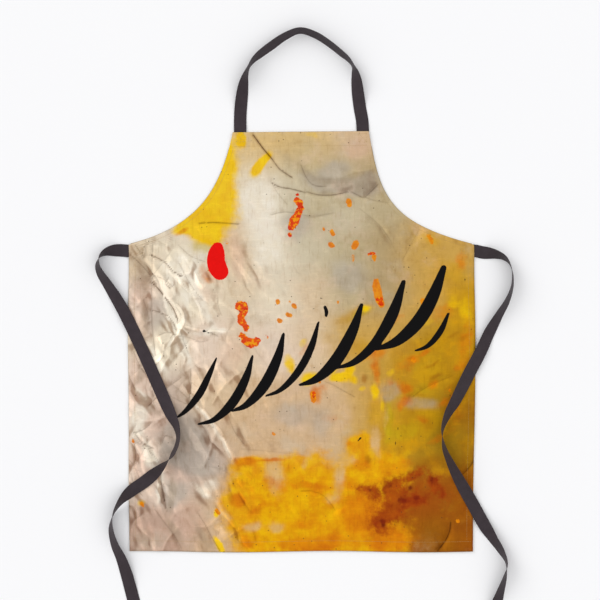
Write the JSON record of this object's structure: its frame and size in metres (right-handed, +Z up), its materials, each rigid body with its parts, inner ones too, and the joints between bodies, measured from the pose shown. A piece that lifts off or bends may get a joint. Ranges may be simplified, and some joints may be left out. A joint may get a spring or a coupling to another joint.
{
  "type": "painter's bib apron",
  "caption": "Bib apron for painting, laid face up, with a sewn webbing neck loop, waist ties that swing out from their first bend, turned hems and bound armholes.",
  "frame": {"origin": "on the table under the middle of the apron with its neck loop, the waist ties left out", "axes": "+Y from the bottom hem towards the neck loop, +X to the right as the apron lies face up, +Z up off the table"},
  "size_m": [0.8374, 1.2422, 0.0291],
  "materials": {
    "printed_cloth": "matt woven cloth printed with paint splashes",
    "turned_cloth": "matt reverse side of the printed cloth",
    "bias_tape": "matt woven tape",
    "webbing": "finely ribbed dark webbing with a slight sheen",
    "dark_thread": "twisted sewing thread",
    "cloth_thread": "twisted sewing thread"
  },
  "bodies": {
    "apron": {"front_panel": "printed_cloth", "top_hem": "turned_cloth", "bottom_hem": "turned_cloth", "left_side_hem": "turned_cloth", "right_side_hem": "turned_cloth", "left_armhole_binding": "bias_tape", "right_armhole_binding": "bias_tape", "top_hem_stitching": "cloth_thread", "bottom_hem_stitching": "cloth_thread", "left_side_stitching": "cloth_thread", "right_side_stitching": "cloth_thread", "left_armhole_stitching": "cloth_thread", "right_armhole_stitching": "cloth_thread", "left_neck_tack": "cloth_thread", "right_neck_tack": "cloth_thread", "left_waist_tack": "cloth_thread", "right_waist_tack": "cloth_thread", "neck_strap_left_end": "webbing", "neck_strap_right_end": "webbing", "left_waist_tie_sewn_end": "webbing", "right_waist_tie_sewn_end": "webbing"},
    "neck_loop": {"neck_strap": "webbing"},
    "left_tie": {"left_waist_tie": "webbing", "left_tie_end_fold": "webbing", "left_tie_end_tack": "dark_thread"},
    "right_tie": {"right_waist_tie": "webbing", "right_tie_end_fold": "webbing", "right_tie_end_tack": "dark_thread"}
  },
  "joints": [
    {"name": "neck_loop_fold", "type": "hinge", "parent": "apron", "child": "neck_loop", "pos_m": [0, 0.3203, 0.00225], "axis": [1, 0, 0], "range_deg": [0, 150]},
    {"name": "left_tie_swing", "type": "hinge", "parent": "apron", "child": "left_tie", "pos_m": [-0.40366, 0.06576, 0.0125], "axis": [0, 0, -1], "range_deg": [0, 90]},
    {"name": "right_tie_swing", "type": "hinge", "parent": "apron", "child": "right_tie", "pos_m": [0.41573, 0.05264, 0.0125], "axis": [0, 0, 1], "range_deg": [0, 90]}
  ]
}
